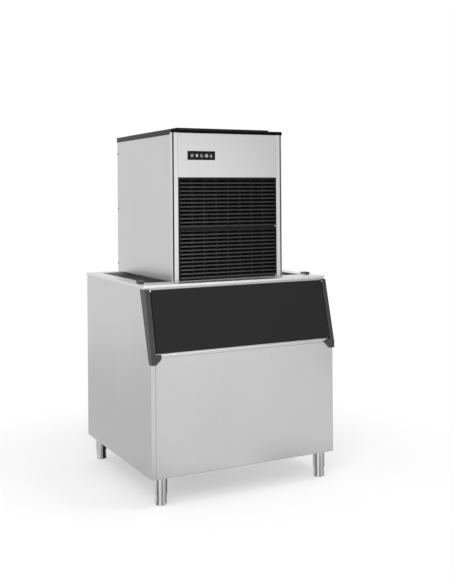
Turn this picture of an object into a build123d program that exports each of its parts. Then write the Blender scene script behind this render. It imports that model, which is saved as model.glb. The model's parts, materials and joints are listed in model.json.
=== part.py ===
"""Nugget ice machine: an ice-making head seated on its insulated storage bin.

Millimetres, +Z up, the front faces -Y and +X is to the right. The origin lies on the floor,
under the centre of the whole machine.
"""

import math
import os

from build123d import *

os.makedirs("parts", exist_ok=True)

# Clearances that many pieces share
sheet_gap = 0.5  # between the edges of loose sheets
panel_play = 0.3  # round pieces that clip or drop in
screw_play = 0.1
through = 5.0  # every cutter runs this far past the faces it cuts

# Storage bin, outside
bin_width = 900.0
bin_depth = 820.0
rim_top = 918.0  # floor to the top of the rim
leg_height = 118.0  # floor to the underside of the cabinet
knee_height = 627.0  # floor to the foot of the sloped front
top_setback = 72.0  # how far the slope leans back by the top
sheet = 1.2  # stainless sheet of every casing panel
fold_radius = 1.1
return_flange = 30.0  # folded edge of the side panels
corner_strip = 20.0  # edge of a side panel seen beside the front panel
panel_proud = 3.0  # the front panel stands this far in front of the cabinet
panel_edge = 2.0  # base to the lower edge of the front and rear panels
panel_drop = 5.0  # knee to the front panel's top edge
base_lip = 17.0  # base folded up at front and rear
surround_lip = 20.0  # slope sheet folded down at the knee
foam_gap = 0.3  # foam to sheet
foam_step = 3.0  # foam below the rim's lower fold

# Storage bin, inside
wall = 55.5  # foamed wall, outside face to inside face
liner_wall = 3.0
throat_half = 372.0  # half the width of the scoop opening
throat_low = 30.0  # from the knee up the slope to the opening
throat_high = 238.0

# Rim
rim_sheet = 2.0
rim_overhang = 4.0
rim_skirt = 10.0
rim_radius = 1.5
rim_land = 58.0  # flat width of the side and rear members
front_land = 110.0  # slope's top edge to the mouth of the bin
header_depth = 50.0
header_gap = 6.0
header_air = 0.3  # header's skirt to the sloped front
inner_skirt = 30.0

# Door and its side trims
door_thick = 12.0
door_air = 1.0  # door skin to the cabinet's sloped face
door_edge = 4.0  # door to each side trim
door_foot = 12.0  # from the knee up the slope to the door's lower edge
door_wall = 3.0
door_end = 8.0  # solid end of the door behind each pin's hole
hinge_drop = 24.0  # hinge line below the slope's top edge
pin_radius = 4.0
pin_play = 0.05
pin_depth = 18.0
plug_depth = 14.0
plug_air = 6.0
gasket_edges = (6.0, 12.0)  # opening to the gasket's inner and outer edge
trim_width = 22.0
trim_proud = 12.0
trim_wall = 3.0
trim_stop = 15.0  # trims end this far below the slope's top edge
trim_solid = (12.0, 16.0)  # closed ends of the trims' channel
cheek_top = 45.0
cheek_bottom = 16.0
cheek_proud = 6.0
foot_drop = 32.0  # trims reach this far below the knee
foot_rise = 9.0  # and their inner ends this far above it
foot_width = 42.0
foot_step = 8.0
foot_gap = 3.0  # front panel to the trims' feet
strip_foot = 2.0
strip_height = 6.0
strip_proud = 11.0
block_size = (22.0, 36.0, 11.0)  # guide blocks on the side rims
block_inset = 16.0  # bin's side to a block
block_back = 165.0  # front of the cabinet to the front of a block
clip_sheet = 2.0
clip_foot = 12.0
clip_back = 6.0  # a block's front end to its clip

# Legs and levelling feet
leg_side_inset = 55.0
leg_end_inset = 38.0
leg_wall = 2.5
foot_radius = 24.5
foot_air = 0.3
foot_height = 47.0
foot_inside = 38.0
foot_round = 5.0
foot_groove = 1.5
leg_cap = 6.0
stud_radius = 8.0
stud_height = 18.0
stud_room = 4.0  # foam to the studs

# Bin drain
drain_bore = 10.0
drain_wall = 3.0
drain_rise = 18.0
drain_reach = 28.0
drain_collar = (6.0, 5.0)  # how far it stands out round the pipe, and its thickness

# Ice-making head, outside
head_width = 560.0
shell_height = 657.0
head_overhang = 18.0  # the head stands out behind the bin
seat_lap = 24.0  # how far it lies on the bin's front land
face_height = 198.0  # plain panel above the grille
lid_border = 16.0
lid_crown = 9.0
lid_inset = 44.0
lid_lap = 8.0  # lid's side flange over the side panels
lid_wall = 2.5
lid_over = 2.0
lid_edge = 4.0  # width of the lid's underside that lies on the panels
lid_play = 0.2
post_face = 30.0
post_side = 24.0
post_wall = 7.0
post_nose = 5.0  # thickness of the rounded side leg
post_setback = 1.5  # its rounded nose to the front face
post_slot = (4.5, 14.0)  # width and depth of the groove behind the front strip
slot_floor = 3.0
side_fold = 12.0
back_return = 16.0
fitting_reach = 25.0  # pipe ends behind the head
fitting_inside = 22.0  # and their length inside it
tray_sheet = 1.5
tray_flange = 28.0
tray_side = 3.2  # head's side to the tray
screw_radius = 2.1
screw_length = 7.0
screw_inset = 8.0  # head's rear face to the screws
screw_shares = (0.064, 0.48, 0.90)  # heights as shares of the shell

# Rear panel
vent_size = (96.0, 9.0)
vent_counts = (2, 9)
vent_steps = (120.0, 24.0)
vent_start = (130.0, 110.0)  # from the head's left side and floor
port_radius = 10.0
gland_radius = 9.0
port_inset = 60.0
port_wall = 3.0
port_nut = (9.0, 9.0, 6.0)  # how far it stands out round the bore, outer and inner thickness
water_rise = 300.0
drain_height = 90.0
power_rise = 560.0

# Display
display_size = (137.0, 40.0)
display_left = 76.0  # head's left edge to the display
display_drop = 80.0  # lid to the display
display_thick = 4.0
display_lip = 5.0
board_size = (120.0, 30.0)
board_sheet = 1.6
lamp_count = 5
lamp_step = 22.0
lamp_size = (4.0, 4.0)  # radius and height

# Grille modules
louvre_count = 12
louvre_rib_count = 7
louvre_rib = (3.0, 15.0)  # width and depth of the ribs that tie the louvres
louvre_nose = 4.0
louvre_thick = 2.0
louvre_lap = 1.5  # a louvre rises this far past the next one's nose
louvre_back = 6.0
grille_depth = 22.0
grille_border = 9.0
grille_band = 10.0  # plain band above and below the louvres
grille_split = 0.2

# Ice drop
chute_size = (104.0, 96.0)
chute_wall = 2.0
chute_reach = 14.0  # below the head's floor
chute_corner = 6.0
chute_step = 40.0  # jacket to the chute

# Ice-making column
bay_width = 250.0  # right-hand bay for the column
bay_wall = 4.0
column_share = 0.62  # column's place in the head's depth
motor_height = 150.0
case_radius = 56.0
collar_radius = 38.0
collar_height = 12.0
motor_can = (42.0, 116.0)  # radius and length
motor_lift = 14.0
motor_step = 104.0  # column to the motor
bridge_size = (68.0, 30.0)  # gear case's arm to the motor
barrel_radius = 50.0
barrel_wall = 3.0
barrel_floor = 8.0
barrel_height = 290.0
jacket_wall = 18.0
jacket_ends = (20.0, 16.0)  # bare barrel below and above the jacket
auger_air = 0.6
auger_core = 26.0
auger_pitch = 42.0
auger_blade = (8.0, 4.0)  # flight's thickness at root and tip
auger_ends = (16.0, 2.0)
shaft_radius = 12.0
shaft_start = 62.0
shaft_play = 0.05
extruder_height = 34.0
extruder_flange = (10.0, 8.0)
extruder_slot = (20.0, 12.0)
extruder_ring = 34.0
extruder_slots = 6
outlet_height = 52.0
outlet_wall = 2.5
outlet_corner = 40.0

# Cooling pack
pack_left = 40.0  # head's left side to the condenser
pack_front = 38.0  # head's front to the condenser
condenser_depth = 44.0
condenser_rise = 34.0
condenser_top_drop = 60.0
coil_tube = 4.8
coil_rows = 10
coil_room = 14.0  # fin pack's side to the bay, for the tubes' bends
fin_grooves = 9
fin_groove = (3.0, 5.0)
foot_post = 20.0
shroud_depth = 26.0
shroud_sheet = 2.0
shroud_ring = 16.0
fan_margin = 24.0
fan_hub = 26.0
fan_blades = 5
fan_width = 22.0
fan_air = 5.0
blade_root = (26.0, 3.0)
blade_tip = (0.55, 2.4)  # tip's width as a share of the radius, and its thickness
blade_pitch = (42.0, 24.0)  # degrees at root and tip
blade_sweep = 10.0
fan_motor = (38.0, 62.0)  # radius and length
fan_shaft = 4.0
arm_size = (16.0, 3.0)  # width and thickness of the motor's arms
compressor_radius = 86.0
compressor_height = 220.0
compressor_lift = 12.0
compressor_feet = (78.0, 52.0)
compressor_edge = 14.0
compressor_band = (96.0, 8.0, 2.5)  # height, width and thickness of its weld band
compressor_corner = (30.0, 40.0)  # head's side and rear face to its plate
mount_sizes = (12.0, 10.0, 6.8, 10.0)  # radius and height of the foot, then of the neck
line_radius = 4.0
suction_radius = 6.0
line_offset = 40.0
drier_size = (14.0, 80.0)

# Control box
box_place = (24.0, 30.0, 40.0)  # from the head's left side, front and top
box_size = (190.0, 120.0, 130.0)
box_wall = 2.0

# Water side
tank_size = (60.0, 130.0, 110.0)
tank_wall = 2.5
tank_side = 22.0
tank_rise = 60.0
tank_corner = 6.0
tank_arm = (20.0, 30.0, 4.0)  # from the tank's ends, below its top, thickness
ear_sheet = 3.0
ear_reach = 9.0
float_radius = 18.0
float_reach = 76.0
float_pin_radius = 2.0
float_droop = 35.0  # degrees below level at the low stop

# Worked out from the above
overall_depth = trim_proud + bin_depth + head_overhang + fitting_reach
front = -overall_depth / 2 + trim_proud
back = front + bin_depth
half = bin_width / 2
skin_top = rim_top - rim_sheet
skirt_low = rim_top - rim_skirt
slope_top = front + top_setback
slope_rise = skin_top - knee_height
slope_length = math.hypot(top_setback, slope_rise)
slope = Plane(origin=(0, front, knee_height), x_dir=(1, 0, 0), z_dir=(0, -slope_rise, top_setback))
mouth_front = slope_top + front_land
mouth_back = back - rim_land
mouth_half = half - rim_land
leg_radius = foot_radius + foot_air + leg_wall

head_back = back + head_overhang
head_front = mouth_front - seat_lap
head_depth = head_back - head_front
head_floor = rim_top
head_top = head_floor + shell_height
side = head_width / 2
grille_height = shell_height - face_height
works_floor = head_floor + tray_sheet

column_x = side - bay_width / 2 - bay_wall
column_y = head_front + head_depth * column_share
motor_top = works_floor + motor_height
barrel_top = motor_top + barrel_height
barrel_outside = barrel_radius + barrel_wall
jacket_radius = barrel_outside + jacket_wall
chute_x = column_x
chute_y = column_y - barrel_radius - jacket_wall - chute_step - chute_size[1] / 2
pack_right = side - bay_width
pack_x = (-side + pack_left + pack_right) / 2
pack_width = pack_right + side - pack_left
pack_half = pack_width / 2 - coil_room
pack_low = head_floor + condenser_rise
pack_high = head_floor + grille_height - condenser_top_drop
pack_z = (pack_low + pack_high) / 2
pack_back = head_front + pack_front + condenser_depth
fan_radius = min(pack_width, pack_high - pack_low) / 2 - fan_margin
hinge_u = slope_length - hinge_drop
hinge_n = door_air + door_thick / 2
trim_inner = half - trim_width + trim_wall
door_half = trim_inner - door_edge


def span(x, y, z):
    """Straight block between a low and a high value on each axis."""
    size = [pair[1] - pair[0] for pair in (x, y, z)]
    centre = [(pair[1] + pair[0]) / 2 for pair in (x, y, z)]
    return Pos(*centre) * Box(*size)


def both(reach):
    """The pair of values at equal distances left and right."""
    return (-reach, reach)


def prism(points, x):
    """Outline of (y, z) points carried along X."""
    face = make_face(Polyline(*points, close=True))
    return extrude(Plane.YZ.offset(x[0]) * face, x[1] - x[0])


def on_slope(shape):
    """A shape drawn flat, x across, y up the slope and z outwards, laid on the sloped front."""
    return slope.location * shape


def rod(radius, start, end):
    """Round bar between two points."""
    start, end = Vector(*start), Vector(*end)
    return extrude(Plane(origin=start, z_dir=end - start) * Circle(radius), (end - start).length)


def pillar(radius, x, y, z):
    """Upright round bar between two heights."""
    return rod(radius, (x, y, z[0]), (x, y, z[1]))


def tube(radius, points, bend):
    """Bent pipe along points, with one bend radius."""
    path = FilletPolyline(*points, radius=bend)
    return sweep(Plane(origin=path @ 0, z_dir=path % 0) * Circle(radius), path=path)


def cabinet_outline(inset):
    """Side view of the cabinet, drawn in by inset."""
    face = make_face(
        Polyline(
            (front, leg_height),
            (front, knee_height),
            (slope_top, skin_top),
            (back, skin_top),
            (back, leg_height),
            close=True,
        )
    )
    return offset(face, amount=-inset, kind=Kind.INTERSECTION) if inset else face


def cabinet_block(inset, x):
    """The cabinet's side view, drawn in by inset and carried along X."""
    return extrude(Plane.YZ.offset(x[0]) * cabinet_outline(inset), x[1] - x[0])


def cavity(grow):
    """The bin's inner space, open at the top, grown by a wall."""
    low = leg_height + wall
    lean = (mouth_front - rim_sheet - front - wall) / (skin_top - knee_height)
    above = rim_top + wall
    face = make_face(
        Polyline(
            (front + wall, low),
            (front + wall, knee_height),
            (front + wall + lean * (above - knee_height), above),
            (back - wall, above),
            (back - wall, low),
            close=True,
        )
    )
    if grow:
        face = offset(face, amount=grow, kind=Kind.INTERSECTION)
    reach = half - wall + grow
    return extrude(Plane.YZ.offset(-reach) * face, 2 * reach)


def throat(grow, out):
    """The scoop opening through the sloped wall, grown by a wall, out to a height on the slope."""
    return on_slope(
        span(
            both(throat_half + grow),
            (throat_low - grow, throat_high + grow),
            (-front_land - wall, out),
        )
    )


def leg_places():
    """Centres of the four legs."""
    x = half - leg_side_inset
    y_front, y_rear = front + leg_end_inset, back - leg_end_inset
    return {
        "front_left": (-x, y_front),
        "front_right": (x, y_front),
        "rear_left": (-x, y_rear),
        "rear_right": (x, y_rear),
    }


def drain_axis():
    """Centre height of the bin's drain pipe."""
    return leg_height + wall + drain_rise


def drain_pipe(grow, y):
    """Round bar on the drain's axis, grown from the pipe's outside, between two values of y."""
    return rod(drain_bore + drain_wall + grow, (0, y[0], drain_axis()), (0, y[1], drain_axis()))


def bin_side_panel():
    """Left side panel: one sheet with its edges folded in all round."""
    skin = cabinet_block(0, (-half, -half + return_flange))
    return skin - cabinet_block(sheet, (-half + sheet, -half + return_flange + through))


def bin_front_panel():
    """Shallow folded pan with its two top corners cut at 45 degrees round the trims' feet."""
    reach = half - corner_strip
    inner = half - foot_width - foot_gap
    low = leg_height + panel_edge
    top = knee_height - panel_drop
    cut_z = knee_height - foot_step - foot_gap
    corner_z = cut_z - (reach - inner)
    outline = Polyline(
        (-reach, low),
        (-reach, corner_z),
        (-inner, cut_z),
        (-inner, top),
        (inner, top),
        (inner, cut_z),
        (reach, corner_z),
        (reach, low),
        close=True,
    )
    face = make_face(outline)
    outside = Plane.XZ.offset(-front + panel_proud)
    inside = Plane.XZ.offset(-front + panel_proud - sheet)
    pan = extrude(outside * face, -panel_proud)
    pan = fillet(pan.faces().sort_by(Axis.Y)[0].edges(), fold_radius)
    return pan - extrude(inside * offset(face, amount=-sheet, kind=Kind.INTERSECTION), -panel_proud)


def bin_back_panel():
    """Rear sheet, laid on the side panels' folded edges, with the drain hole."""
    z = (leg_height + panel_edge, skirt_low - panel_edge)
    plate = span(both(half - panel_edge), (back, back + sheet), z)
    return plate - drain_pipe(sheet_gap, (back - through, back + through))


def bin_base():
    """Bottom sheet between the side panels, folded up at front and rear, with the four stud holes."""
    reach = half - return_flange - sheet_gap
    lip_z = leg_height + base_lip
    pan = span(both(reach), (front, back), (leg_height, lip_z))
    pan -= span(both(half), (front + sheet, back - sheet), (leg_height + sheet, lip_z + through))
    for x, y in leg_places().values():
        pan -= pillar(stud_radius + sheet_gap, x, y, (leg_height - through, leg_height + through))
    return pan


def bin_liner():
    """Moulded inner tub with the scoop opening's sleeve drawn out of its sloped front."""
    tub = cavity(liner_wall) + throat(liner_wall, -sheet)
    tub -= cavity(0)
    tub -= throat(0, through)
    tub -= span(both(half), (front, back), (skin_top, rim_top + 2 * wall))
    return tub - drain_pipe(0, (back - wall - through, back))


def bin_insulation():
    """Foamed-in insulation between the liner and the sheet panels."""
    gap = sheet + foam_gap
    foam = cabinet_block(gap, both(half - gap))
    foam -= cavity(liner_wall)
    foam -= throat(liner_wall, through)
    foam -= span(both(half), (front, mouth_front), (skirt_low - foam_step, rim_top))
    foam -= drain_pipe(0, (back - wall - through, back + through))
    for x, y in leg_places().values():
        foam -= pillar(stud_radius + stud_room, x, y, (leg_height, leg_height + stud_height + stud_room))
    return foam


def bin_rim():
    """Folded rim: land round the mouth, outer and inner skirts, and a channel behind the header."""
    y_front = slope_top + header_depth + sheet_gap
    land_front = slope_top + header_depth + header_gap
    reach = half + rim_overhang
    y_rear = back + rim_overhang
    cap = span(both(reach), (y_front, y_rear), (skirt_low, rim_top))
    below = (skirt_low - through, skin_top)
    cap -= span(both(reach - rim_sheet), (y_front - through, y_rear - rim_sheet), below)
    inner_low = rim_top - inner_skirt
    mouth = (mouth_front - rim_sheet, mouth_back + rim_sheet)
    cap += span(both(mouth_half + rim_sheet), mouth, (inner_low, rim_top))
    cap -= span(both(mouth_half), (mouth_front, mouth_back), (inner_low - through, rim_top + through))
    cap -= span(both(mouth_half), (y_front - through, land_front), (skirt_low - through, rim_top + through))
    fold_y = (land_front, land_front + rim_sheet)
    cap += span(both(mouth_half), fold_y, (skirt_low, rim_top))
    cap += span(both(mouth_half), (slope_top + rim_sheet, fold_y[1]), (skirt_low, skirt_low + rim_sheet))
    top_edges = cap.faces().sort_by(Axis.Z)[-1].outer_wire().edges()
    outside = [e for e in top_edges if abs(e.center().X) > half or e.center().Y > back]
    return fillet(outside, rim_radius)


def front_header():
    """Folded strip across the top of the slope, which closes the door's upper edge."""
    reach = half + rim_overhang
    lean = top_setback / slope_rise
    nose = (rim_skirt - rim_sheet) * lean + header_air + rim_sheet
    y = (slope_top - nose, slope_top + header_depth)
    cap = span(both(reach), y, (skirt_low, rim_top))
    long_edges = cap.edges().filter_by(Axis.X).sort_by(Axis.Z)[-2:].sort_by(Axis.Y)[:1]
    cap = fillet(long_edges, rim_sheet)
    below = (skirt_low - through, skin_top)
    return cap - span(both(reach - rim_sheet), (y[0] + rim_sheet, y[1] + through), below)


def door_surround():
    """Sheet on the slope round the scoop opening, folded down at the knee."""
    reach = half - return_flange - sheet_gap
    top = (skirt_low - sheet_gap - knee_height) * slope_length / slope_rise
    plate = on_slope(span(both(reach), (0, top), (-sheet, 0)))
    plate += span(both(reach), (front, front + sheet), (knee_height - surround_lip, knee_height))
    return plate - throat(0, through)


def knee_strip():
    """Bright folded strip below the door."""
    reach = half - foot_width - sheet_gap
    bar = span(both(reach), (strip_foot, strip_foot + strip_height), (0, strip_proud))
    bar = fillet(bar.edges().filter_by(Axis.X).sort_by(Axis.Z)[-2:], strip_height / 4)
    return on_slope(bar)


def door_section(inset):
    """Door seen from its end: flat, with its top edge rounded about the hinge line."""
    low = Pos((door_foot + inset + hinge_u) / 2, hinge_n) * Rectangle(
        hinge_u - door_foot - inset, door_thick - 2 * inset
    )
    return low + Pos(hinge_u, hinge_n) * Circle(door_thick / 2 - inset)


def door_hollow(play):
    """Space behind the door's outer skin, drawn in by a play on its edges."""
    return span(
        both(door_half - pin_depth - door_end - play),
        (door_foot + door_wall + play, hinge_u - door_thick / 2 - door_wall - play),
        (door_air, door_air + door_thick - door_wall),
    )


def door_skin():
    """Black moulded outer door, hollow behind, with solid ends for the hinge pins."""
    body = extrude(Plane.YZ.offset(-door_half) * door_section(0), 2 * door_half)
    outer_low = body.edges().filter_by(Axis.X).sort_by(Axis.Y)[:2].sort_by(Axis.Z)[-1:]
    body = fillet(outer_low, door_wall)
    body -= door_hollow(0)
    for hand in (-1, 1):
        start = (hand * (door_half + through), hinge_u, hinge_n)
        body -= rod(pin_radius + pin_play, start, (hand * (door_half - pin_depth), hinge_u, hinge_n))
    return on_slope(body)


def door_insert():
    """Insulated inner panel of the door, with a plug that enters the opening."""
    plug_x = both(throat_half - plug_air)
    plug = span(plug_x, (throat_low + plug_air, throat_high - plug_air), (-plug_depth, door_air))
    plug = fillet(plug.faces().sort_by(Axis.Z)[0].edges(), door_wall)
    return on_slope(door_hollow(panel_play) + plug)


def door_gasket():
    """Soft frame on the door's inner face round the opening."""
    near, far = gasket_edges
    outer = span(both(throat_half + far), (throat_low - far, throat_high + far), (panel_play, door_air))
    inner = span(both(throat_half + near), (throat_low - near, throat_high + near), (-through, through))
    return on_slope(outer - inner)


def hinge_pin():
    """Left hinge pin, from the trim into the door's end, with a shoulder that spaces the door."""
    pin_end = -door_half + pin_depth - panel_play
    pin = rod(pin_radius, (-half, hinge_u, hinge_n), (pin_end, hinge_u, hinge_n))
    shoulder = rod(
        door_thick / 2 - pin_play,
        (-trim_inner, hinge_u, hinge_n),
        (-door_half - panel_play, hinge_u, hinge_n),
    )
    return on_slope(pin + shoulder)


def door_trim():
    """Left moulded trim: channel up the slope, tapered cheek on the side and a foot cut at 45 degrees."""
    outer = -half - trim_wall
    inner = -trim_inner
    top = slope_length - trim_stop
    rail = span((outer, inner), (0, top), (0, trim_proud))
    outer_edge = rail.edges().filter_by(Axis.Y).sort_by(Axis.Z)[-2:].sort_by(Axis.X)[:1]
    rail = fillet(outer_edge, trim_wall - sheet_gap)
    hollow_u = (trim_solid[0], hinge_u - trim_solid[1])
    rail -= span((-half, inner - trim_wall), hollow_u, (-through, trim_proud - trim_wall))
    rail -= rod(pin_radius, (-half, hinge_u, hinge_n), (inner + through, hinge_u, hinge_n))
    rail = on_slope(rail)
    lean = top_setback / slope_rise
    cheek_z = skin_top - trim_stop
    cheek_y = front + lean * (cheek_z - knee_height)
    foot_z = knee_height - foot_drop
    cheek = prism(
        [
            (front - cheek_proud, foot_z),
            (front - cheek_proud, knee_height),
            (cheek_y - cheek_proud / 2, cheek_z),
            (cheek_y + cheek_top, cheek_z),
            (front + cheek_bottom, foot_z),
        ],
        (outer, -half),
    )
    foot_face = make_face(
        Polyline(
            (outer, foot_z),
            (outer, knee_height + trim_wall),
            (inner, knee_height + foot_rise),
            (-half + foot_width, knee_height + foot_rise),
            (-half + foot_width, knee_height - foot_step),
            (inner, foot_z + foot_step / 2),
            (inner, foot_z),
            close=True,
        )
    )
    foot = extrude(Plane.XZ.offset(-front + trim_proud) * foot_face, -trim_proud)
    return rail + cheek + foot


def guide_block():
    """Left raised guide of the side rim: a black block."""
    wide, deep, tall = block_size
    x0, y0 = -half + block_inset, front + block_back
    block = span((x0, x0 + wide), (y0, y0 + deep), (rim_top, rim_top + tall))
    return fillet(block.faces().sort_by(Axis.Z)[-1].edges(), clip_sheet)


def guide_clip():
    """Steel angle along the inner side of the left guide."""
    wide, deep, tall = block_size
    x0, y0 = -half + block_inset + wide, front + block_back + clip_back
    upright = span((x0, x0 + clip_sheet), (y0, y0 + deep), (rim_top, rim_top + tall))
    return upright + span((x0, x0 + clip_foot), (y0, y0 + deep), (rim_top, rim_top + clip_sheet))


def leg(x, y):
    """Round leg: closed tube with a stud into the base, bored for its foot."""
    bore = foot_radius + foot_air
    profile = Polyline(
        (bore, foot_height),
        (leg_radius, foot_height),
        (leg_radius, leg_height),
        (stud_radius, leg_height),
        (stud_radius, leg_height + stud_height),
        (0, leg_height + stud_height),
        (0, leg_height - leg_cap),
        (bore, leg_height - leg_cap),
        close=True,
    )
    body = revolve(Plane.XZ * make_face(profile), Axis.Z)
    return Pos(x, y, 0) * body


def levelling_foot(x, y):
    """Bullet foot that screws up into its leg, with a groove below the leg and a rounded lower edge."""
    body = pillar(foot_radius, 0, 0, (0, foot_height + foot_inside))
    body = fillet(body.edges().sort_by(Axis.Z)[0], foot_round)
    waist = (foot_height - foot_groove, foot_height)
    groove = pillar(foot_radius + through, 0, 0, waist) - pillar(foot_radius - 1, 0, 0, waist)
    return Pos(x, y, 0) * (body - groove)


def bin_drain():
    """Drain pipe from the tub's low rear edge out through the rear panel."""
    collar, thick = drain_collar
    rear = back + sheet
    y = (back - wall, rear + drain_reach)
    pipe = drain_pipe(0, y) + drain_pipe(collar, (rear, rear + thick))
    return pipe - drain_pipe(-drain_wall, (y[0] - through, y[1] + through))


def chute_block(grow, low, high):
    """Outer form of the ice chute between two heights."""
    wide, deep = (chute_size[0] / 2 + grow, chute_size[1] / 2 + grow)
    return span((chute_x - wide, chute_x + wide), (chute_y - deep, chute_y + deep), (low, high))


def head_tray():
    """Head's floor tray: it lies on the bin's rim and holds the works; the ice drops through it."""
    reach = side - tray_side
    front_edge, rear_edge = head_front + 1, head_back - panel_edge
    wall_front = head_front + post_side
    tray = span(both(reach), (front_edge, rear_edge), (head_floor, works_floor))
    rim = span(both(reach), (wall_front, rear_edge), (head_floor, head_floor + tray_flange))
    rim -= span(
        both(reach - tray_sheet),
        (wall_front + tray_sheet, rear_edge - tray_sheet),
        (head_floor - through, head_floor + tray_flange + through),
    )
    tray += rim
    return tray - chute_block(sheet_gap, head_floor - through, head_floor + through)


def corner_post():
    """Left front corner: extruded aluminium with a flat front strip, a groove and a rounded side leg."""
    corner = (Align.MIN, Align.MIN)
    slot_wide, slot_deep = post_slot
    web = post_nose + slot_wide + slot_floor
    profile = Rectangle(post_face, post_wall, align=corner)
    profile += Rectangle(post_wall, post_side, align=corner)
    profile += Rectangle(web, slot_deep + slot_floor, align=corner)
    profile -= Pos(post_nose, -through) * Rectangle(slot_wide, slot_deep + through, align=corner)
    profile -= Pos(-through, -through) * Rectangle(post_nose + through, post_setback + through, align=corner)
    nose = profile.vertices().sort_by(Axis.X)[:4].sort_by(Axis.Y)[:2]
    profile = fillet(nose.filter_by(lambda v: v.Y < slot_deep), post_nose * 0.4)
    strip = profile.vertices().filter_by(lambda v: v.Y < panel_play)
    profile = fillet(strip, 1.0)
    return extrude(Plane(origin=(-side, head_front, works_floor)) * profile, head_top - works_floor)


def screw_heights():
    """Heights of the three screws down the rear edge of each side panel."""
    return [head_floor + shell_height * share for share in screw_shares]


def head_side_panel():
    """Left side sheet of the head, folded in along its top edge."""
    y = (head_front + post_side, head_back)
    plate = span((-side, -side + sheet), y, (head_floor + sheet_gap, head_top))
    plate += span((-side, -side + side_fold), y, (head_top - sheet, head_top))
    plate = fillet(plate.edges().filter_by(Axis.Y).sort_by(Axis.Z)[-2:].sort_by(Axis.X)[:1], sheet * 0.8)
    screw_y = head_back - screw_inset
    for z in screw_heights():
        outside, inside = (-side - through, screw_y, z), (-side + sheet * 2, screw_y, z)
        plate -= rod(screw_radius + screw_play, outside, inside)
    return plate


def back_ports():
    """Pipe and cable ports of the rear panel: name, x, height above the head's floor, radius."""
    right = side - port_inset
    return {
        "water": (right, water_rise, port_radius),
        "drain": (right, drain_height, port_radius),
        "power": (-right, power_rise, gland_radius),
    }


def head_back_panel():
    """Rear pan of the head with vent slots and its three ports."""
    reach = side - sheet - lid_play
    low, high = head_floor + panel_edge, head_top - sheet - panel_play
    pan = span(both(reach), (head_back - back_return, head_back), (low, high))
    pan -= span(
        both(reach - sheet),
        (head_back - back_return - through, head_back - sheet),
        (low - through, high + through),
    )
    vent = SlotOverall(*vent_size)
    columns, rows = vent_counts
    left, low_row = -side + vent_start[0], head_floor + vent_start[1]
    vents = [
        Pos(left + vent_steps[0] * i, low_row + vent_steps[1] * j) * vent
        for i in range(columns)
        for j in range(rows)
    ]
    pan -= extrude(Plane.XZ.offset(-head_back - sheet) * Sketch(children=vents), sheet + through)
    for x, up, radius in back_ports().values():
        z = head_floor + up
        hole = radius + port_wall + lid_play
        pan -= rod(hole, (x, head_back - through, z), (x, head_back + through, z))
    screw_y = head_back - screw_inset
    for z in screw_heights():
        for hand in (-1, 1):
            inner = hand * (side - 2 * (sheet + panel_play) - 1)
            pan -= rod(screw_radius + screw_play, (inner, screw_y, z), (hand * side, screw_y, z))
    return pan


def display_place():
    """Centre x and height of the display."""
    return (
        -side + display_left + display_size[0] / 2,
        head_top - display_drop - display_size[1] / 2,
    )


def display_block(grow, y):
    """Straight block round the display's centre, grown from the window's size."""
    x, z = display_place()
    wide, tall = display_size[0] / 2 + grow, display_size[1] / 2 + grow
    return span((x - wide, x + wide), y, (z - tall, z + tall))


def head_face_panel():
    """Plain folded panel above the grille with the display's cut-out."""
    reach = side - post_face - panel_play
    z = (head_floor + grille_height + panel_play, head_top)
    rear = head_front + post_wall + slot_floor
    pan = span(both(reach), (head_front, rear), z)
    pan = fillet(pan.faces().sort_by(Axis.Y)[0].edges(), fold_radius)
    pan -= span(both(reach - sheet), (head_front + sheet, rear + through), (z[0] + sheet, z[1] - sheet))
    return pan - display_block(0, (head_front - through, head_front + through))


def display_glass():
    """Flush black display window, seated from behind on its own flange."""
    rear = head_front + display_thick
    window = display_block(-panel_play, (head_front, rear))
    return window + display_block(display_lip - panel_play, (head_front + sheet, rear))


def display_board():
    """Circuit board behind the display with its row of lamps."""
    x, z = display_place()
    y = head_front + display_thick
    radius, tall = lamp_size
    wide, high = board_size[0] / 2, board_size[1] / 2
    board = span((x - wide, x + wide), (y + tall, y + tall + board_sheet), (z - high, z + high))
    for i in range(lamp_count):
        lamp_x = x + lamp_step * (i - (lamp_count - 1) / 2)
        board += rod(radius, (lamp_x, y, z), (lamp_x, y + tall, z))
    return board


def louvre_section(pitch):
    """One louvre seen from its end: a blunt nose, and a blade that rises past the next nose."""
    run, rise = grille_depth - louvre_back, pitch + louvre_lap
    return make_face(
        Polyline(
            (1, 0),
            (0, 1),
            (0, louvre_nose),
            (1, louvre_nose + 1),
            (run, rise),
            (run, rise - louvre_thick),
            (louvre_nose, 0),
            close=True,
        )
    )


def grille_module(low, high):
    """Louvred air grille: frame, louvres and the ribs that tie them, moulded as one."""
    reach = side - post_face - panel_play
    y = (head_front, head_front + grille_depth)
    frame = span(both(reach), y, (low, high))
    inner = reach - grille_border
    z = (low + grille_band, high - grille_band)
    frame -= span(both(inner), (y[0] - through, y[1] + through), z)
    frame = fillet(frame.faces().sort_by(Axis.Y)[0].outer_wire().edges(), fold_radius)
    pitch = (z[1] - z[0]) / louvre_count
    blades = [Pos(head_front, z[0] - 1 + pitch * i) * louvre_section(pitch) for i in range(louvre_count)]
    frame += extrude(Plane.YZ.offset(-inner - 1) * Sketch(children=blades), 2 * inner + 2)
    rib_step = 2 * inner / (louvre_rib_count + 1)
    rib_wide, rib_deep = louvre_rib
    for i in range(louvre_rib_count):
        x = -inner + rib_step * (i + 1)
        frame += span((x - rib_wide / 2, x + rib_wide / 2), (y[1] - rib_deep, y[1]), (z[0] - 1, z[1] + 1))
    return frame


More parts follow.
